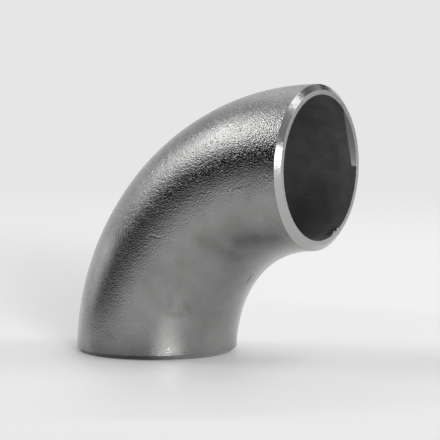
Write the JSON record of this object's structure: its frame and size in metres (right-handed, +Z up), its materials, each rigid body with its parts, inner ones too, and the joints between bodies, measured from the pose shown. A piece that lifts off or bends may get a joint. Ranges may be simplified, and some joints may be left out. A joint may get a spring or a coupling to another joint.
{
  "type": "butt-weld pipe elbow",
  "caption": "Long-radius pipe elbow that turns a pipe run through a right angle, with bevelled ends to weld to the pipes.",
  "frame": {"origin": "centre of the lower end's face, where it stands", "axes": "+Z goes up into the lower end, +X points out of the upper end, and the bend lies in the XZ plane"},
  "size_m": [0.0811, 0.0482, 0.0811],
  "materials": {
    "stainless_steel": "blasted and pickled skin, with satin turned ends"
  },
  "bodies": {
    "root": {"elbow": "stainless_steel"}
  },
  "joints": []
}
